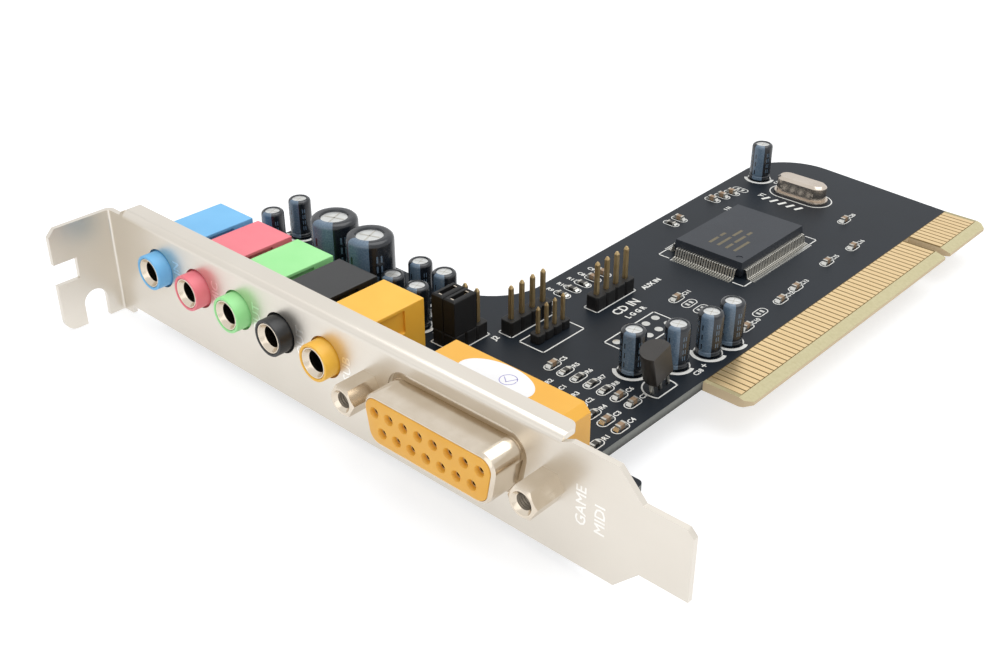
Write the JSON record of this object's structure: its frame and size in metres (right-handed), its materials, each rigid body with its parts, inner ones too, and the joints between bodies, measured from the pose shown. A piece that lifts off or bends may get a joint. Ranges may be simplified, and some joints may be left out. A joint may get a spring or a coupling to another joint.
{
  "type": "pci sound card",
  "caption": "Computer sound card: black circuit board with a gold edge connector, a folded steel slot bracket, coloured audio jacks and a D shaped game port.",
  "frame": {"origin": "middle of the bounding box at its bottom, under the card lying flat", "axes": "+X along the bracket from screw tab to tongue, the way the card is pushed into its slot; +Y from the bracket back over the board; +Z from the solder side to the component side"},
  "size_m": [0.12, 0.1334, 0.0199],
  "materials": {
    "board": "glass cloth laminate under a black solder mask",
    "gold": "gold plate over nickel",
    "bracket": "satin nickel plate on folded steel",
    "plastic_blue": "moulded, blue",
    "plastic_pink": "moulded, pink",
    "plastic_green": "moulded, lime green",
    "plastic_black": "moulded, black",
    "plastic_orange": "moulded, orange",
    "nickel": "bright nickel plate",
    "plastic_yellow": "moulded, yellow",
    "chip_epoxy": "moulded epoxy, fine matt",
    "tin": "tinned copper",
    "can_steel": "drawn steel can",
    "sleeve": "shrunk sleeve, dark blue black, bare aluminium top",
    "header_black": "moulded, black",
    "pin_gold": "thin gold plate on square brass wire",
    "resistor": "black glazed film on white ceramic with tinned ends",
    "chip_ceramic": "tan ceramic with tinned ends"
  },
  "bodies": {
    "root": {"circuit_board": "board", "edge_contacts_component_side": "gold", "edge_contacts_solder_side": "gold", "slot_bracket": "bracket", "game_port_shell": "nickel", "game_port_insulator": "plastic_yellow", "game_port_contacts": "gold", "game_port_housing": "plastic_yellow", "jackscrew_left": "nickel", "jackscrew_right": "nickel", "audio_chip_body": "chip_epoxy", "audio_chip_leads": "tin", "crystal_base": "can_steel", "crystal_can": "can_steel", "regulator_body": "chip_epoxy", "regulator_leads": "tin", "chip_resistors": "resistor", "chip_capacitors": "chip_ceramic", "small_capacitors": "sleeve", "large_capacitors": "sleeve", "jumper_cap_1": "header_black", "jumper_cap_2": "header_black", "jack_housing_blue": "plastic_blue", "jack_ferrule_blue": "nickel", "jack_housing_pink": "plastic_pink", "jack_ferrule_pink": "nickel", "jack_housing_green": "plastic_green", "jack_ferrule_green": "nickel", "jack_housing_black": "plastic_black", "jack_ferrule_black": "nickel", "jack_housing_orange": "plastic_orange", "jack_ferrule_orange": "nickel", "cd_header_base": "header_black", "cd_header_pins": "pin_gold", "aux_header_base": "header_black", "aux_header_pins": "pin_gold", "jumper_header_base": "header_black", "jumper_header_pins": "pin_gold", "fine_header_base": "header_black", "fine_header_pins": "pin_gold"}
  },
  "joints": []
}
